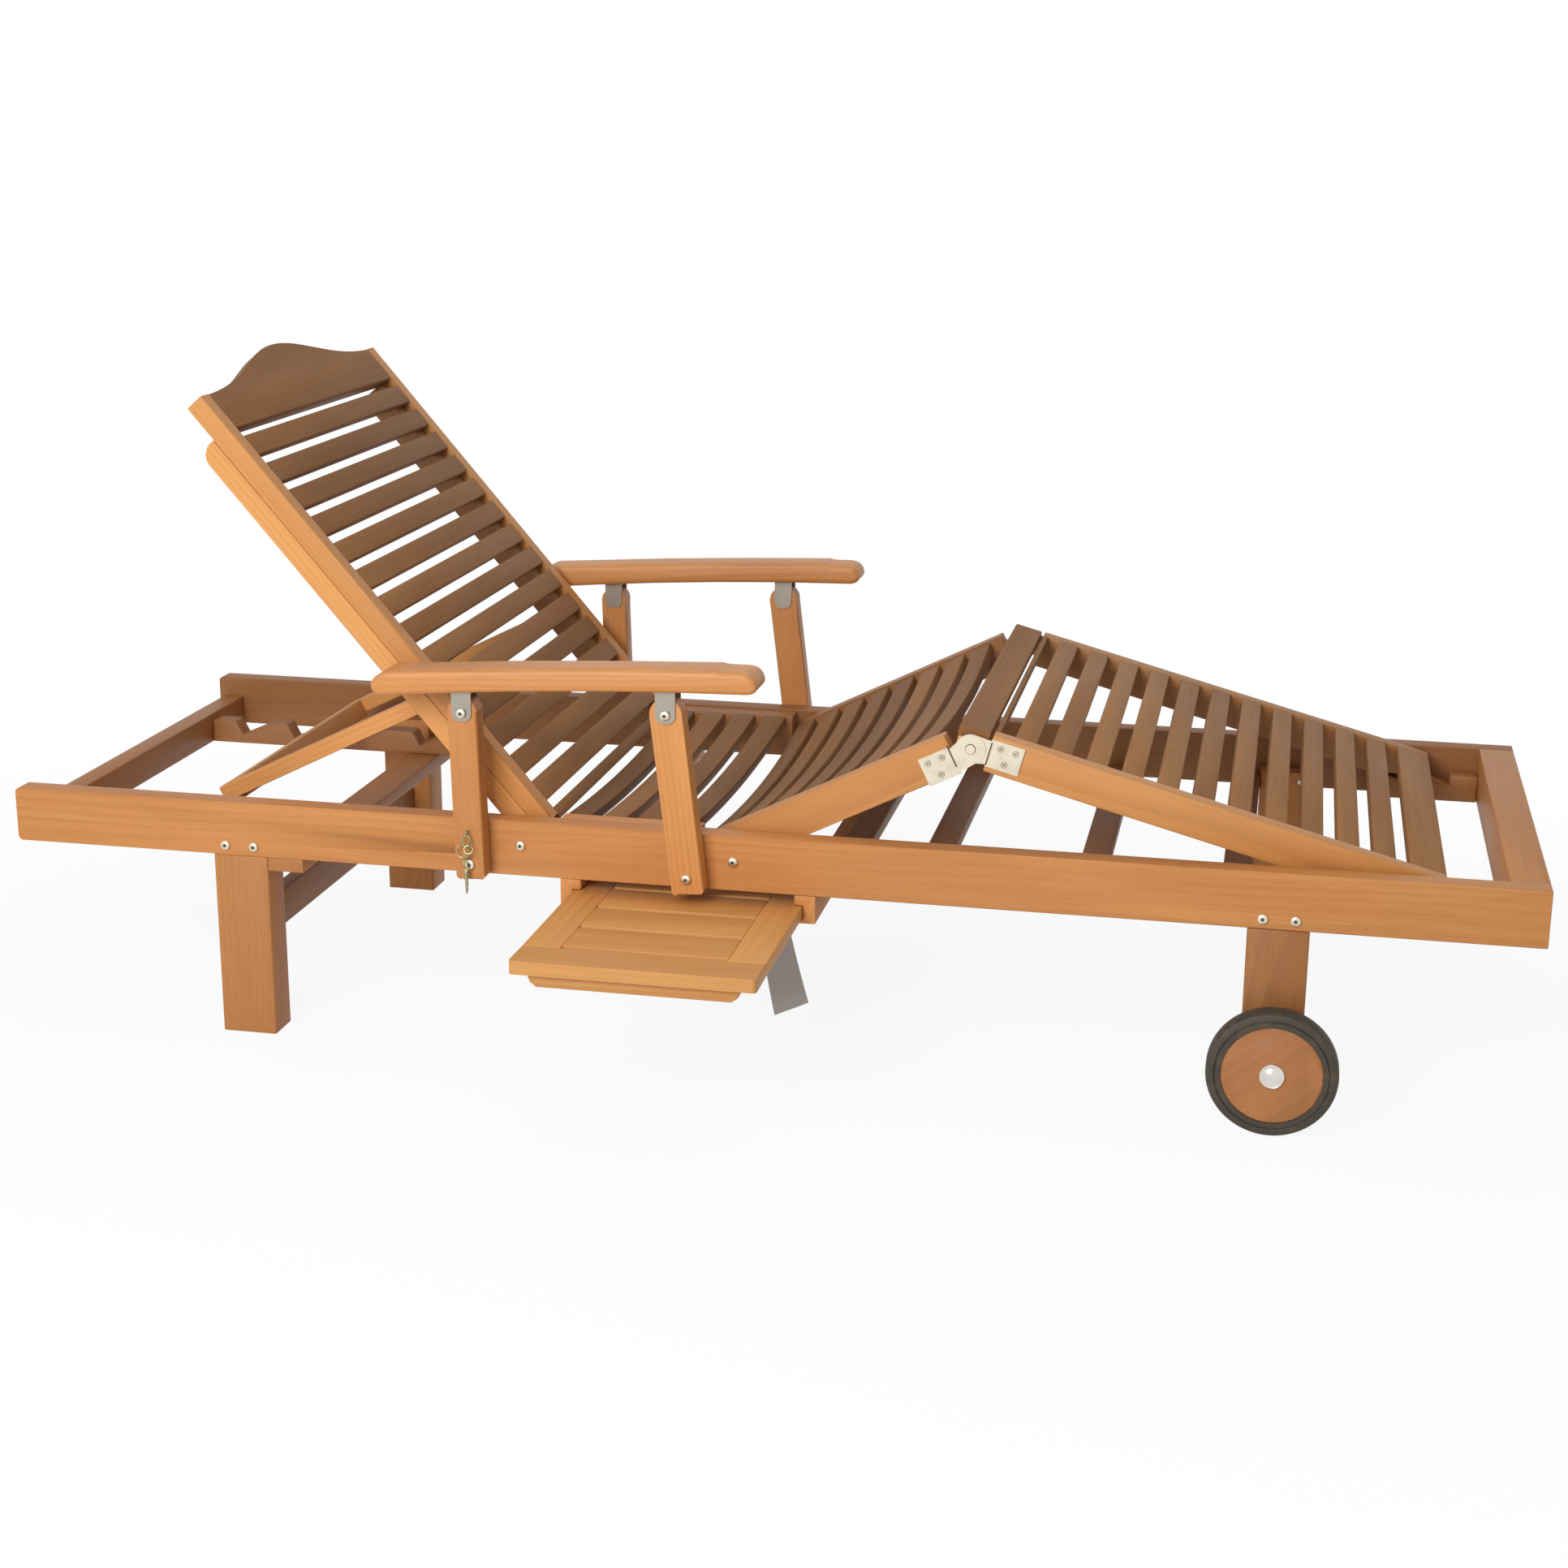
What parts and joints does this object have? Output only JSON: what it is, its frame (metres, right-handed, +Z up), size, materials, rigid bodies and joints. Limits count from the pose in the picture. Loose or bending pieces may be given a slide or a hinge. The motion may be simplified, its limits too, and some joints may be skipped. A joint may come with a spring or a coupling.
{
  "type": "slatted sun lounger",
  "caption": "Hardwood sun lounger with a propped slatted back, dished seat, jointed leg rest, folding arms, pull-out side tray and wheels.",
  "frame": {"origin": "bottom centre of the bounding box with the tray pulled out, on the ground", "axes": "+X towards the foot end along the rails, +Y towards the far side, +Z up"},
  "size_m": [2, 1.026, 0.8917],
  "materials": {
    "frame_wood": "oiled, satin",
    "slat_wood": "oiled, dry",
    "stile_wood": "oiled, satin",
    "arm_wood": "oiled, satin",
    "tray_wood": "oiled, satin",
    "wheel_wood": "oiled, satin",
    "steel": "satin",
    "brass": "dull, aged",
    "tyre": "matt",
    "cap_chrome": "polished"
  },
  "bodies": {
    "frame": {"rail_near": "frame_wood", "rail_far": "frame_wood", "head_rail": "frame_wood", "foot_rail": "frame_wood", "head_leg_near": "frame_wood", "head_leg_far": "frame_wood", "foot_leg_near": "frame_wood", "foot_leg_far": "frame_wood", "head_flat_bar": "frame_wood", "head_stretcher": "frame_wood", "under_bars": "frame_wood", "prop_rack_near": "frame_wood", "prop_rack_far": "frame_wood", "leg_racks": "frame_wood", "seat_sides": "frame_wood", "tray_runner_head": "frame_wood", "tray_runner_foot": "frame_wood", "seat_slats": "slat_wood", "frame_bolts": "steel", "pivot_pins": "steel", "axle": "steel"},
    "backrest": {"back_stile_near": "stile_wood", "back_stile_far": "stile_wood", "back_rear_bars": "stile_wood", "back_battens": "stile_wood", "crest_rail": "slat_wood", "back_slats": "slat_wood", "back_bolts": "steel"},
    "prop": {"prop_struts": "stile_wood", "prop_bar": "stile_wood"},
    "thigh_rest": {"thigh_stiles": "stile_wood", "thigh_slats": "slat_wood", "thigh_leaves": "steel", "knee_rivets": "steel"},
    "calf_rest": {"calf_stiles": "stile_wood", "calf_slats": "slat_wood", "calf_end_slat": "slat_wood", "knee_board": "slat_wood", "knee_blocks": "stile_wood", "calf_leaves": "steel"},
    "tray": {"tray_rails": "tray_wood", "tray_stiles": "tray_wood", "tray_slats": "tray_wood", "tray_apron": "tray_wood"},
    "rear_post_near": {"rear_post_near": "arm_wood", "lock_pin_near": "brass"},
    "front_post_near": {"front_post_near": "arm_wood"},
    "arm_near": {"arm_near": "arm_wood", "arm_brackets_near": "steel"},
    "wheel_near": {"wheel_disc_near": "wheel_wood", "tyre_near": "tyre", "hub_cap_near": "cap_chrome"},
    "rear_post_far": {"rear_post_far": "arm_wood", "lock_pin_far": "brass"},
    "front_post_far": {"front_post_far": "arm_wood"},
    "arm_far": {"arm_far": "arm_wood", "arm_brackets_far": "steel"},
    "wheel_far": {"wheel_disc_far": "wheel_wood", "tyre_far": "tyre", "hub_cap_far": "cap_chrome"}
  },
  "joints": [
    {"name": "backrest_tilt", "type": "hinge", "parent": "frame", "child": "backrest", "pos_m": [-0.2884, 0.109, 0.294], "axis": [0, 1, 0], "range_deg": [-49.28, 0]},
    {"name": "prop_swing", "type": "hinge", "parent": "backrest", "child": "prop", "pos_m": [-0.42718, 0.109, 0.4635], "axis": [0, 1, 0], "range_deg": [0, 77.89]},
    {"name": "thigh_tilt", "type": "hinge", "parent": "frame", "child": "thigh_rest", "pos_m": [-0.0059, 0.109, 0.2915], "axis": [0, 1, 0], "range_deg": [0, 26.5]},
    {"name": "knee_fold", "type": "hinge", "parent": "thigh_rest", "child": "calf_rest", "pos_m": [0.29074, 0.109, 0.45035], "axis": [0, 1, 0], "range_deg": [-43.1, 0]},
    {"name": "tray_slide", "type": "slide", "parent": "frame", "child": "tray", "axis": [0, 1, 0], "range_m": [0, 0.276]},
    {"name": "arm_fold_near", "type": "hinge", "parent": "frame", "child": "rear_post_near", "pos_m": [-0.3478, 0.109, 0.2735], "axis": [0, -1, 0], "range_deg": [0, 65]},
    {"name": "arm_level_near", "type": "hinge", "parent": "rear_post_near", "child": "arm_near", "pos_m": [-0.3532, 0.109, 0.475], "axis": [0, -1, 0], "range_deg": [-75, 0]},
    {"name": "front_post_fold_near", "type": "hinge", "parent": "frame", "child": "front_post_near", "pos_m": [-0.0601, 0.109, 0.2735], "axis": [0, -1, 0], "range_deg": [0, 64]},
    {"name": "wheel_spin_near", "type": "hinge", "parent": "frame", "child": "wheel_near", "pos_m": [0.684, 0.109, 0.081], "axis": [0, 1, 0], "continuous": true},
    {"name": "arm_fold_far", "type": "hinge", "parent": "frame", "child": "rear_post_far", "pos_m": [-0.3478, 0.109, 0.2735], "axis": [0, -1, 0], "range_deg": [0, 65]},
    {"name": "arm_level_far", "type": "hinge", "parent": "rear_post_far", "child": "arm_far", "pos_m": [-0.3532, 0.109, 0.475], "axis": [0, -1, 0], "range_deg": [-75, 0]},
    {"name": "front_post_fold_far", "type": "hinge", "parent": "frame", "child": "front_post_far", "pos_m": [-0.0601, 0.109, 0.2735], "axis": [0, -1, 0], "range_deg": [0, 64]},
    {"name": "wheel_spin_far", "type": "hinge", "parent": "frame", "child": "wheel_far", "pos_m": [0.684, 0.109, 0.081], "axis": [0, 1, 0], "continuous": true}
  ],
  "couplings": [
    {"joint": "prop_swing", "follows": "backrest_tilt", "ratio": -1.5786},
    {"joint": "knee_fold", "follows": "thigh_tilt", "ratio": -1.6226},
    {"joint": "arm_level_near", "follows": "arm_fold_near", "ratio": -1.0695},
    {"joint": "front_post_fold_near", "follows": "arm_fold_near", "ratio": 0.97928},
    {"joint": "arm_level_far", "follows": "arm_fold_far", "ratio": -1.0695},
    {"joint": "front_post_fold_far", "follows": "arm_fold_far", "ratio": 0.97928}
  ]
}
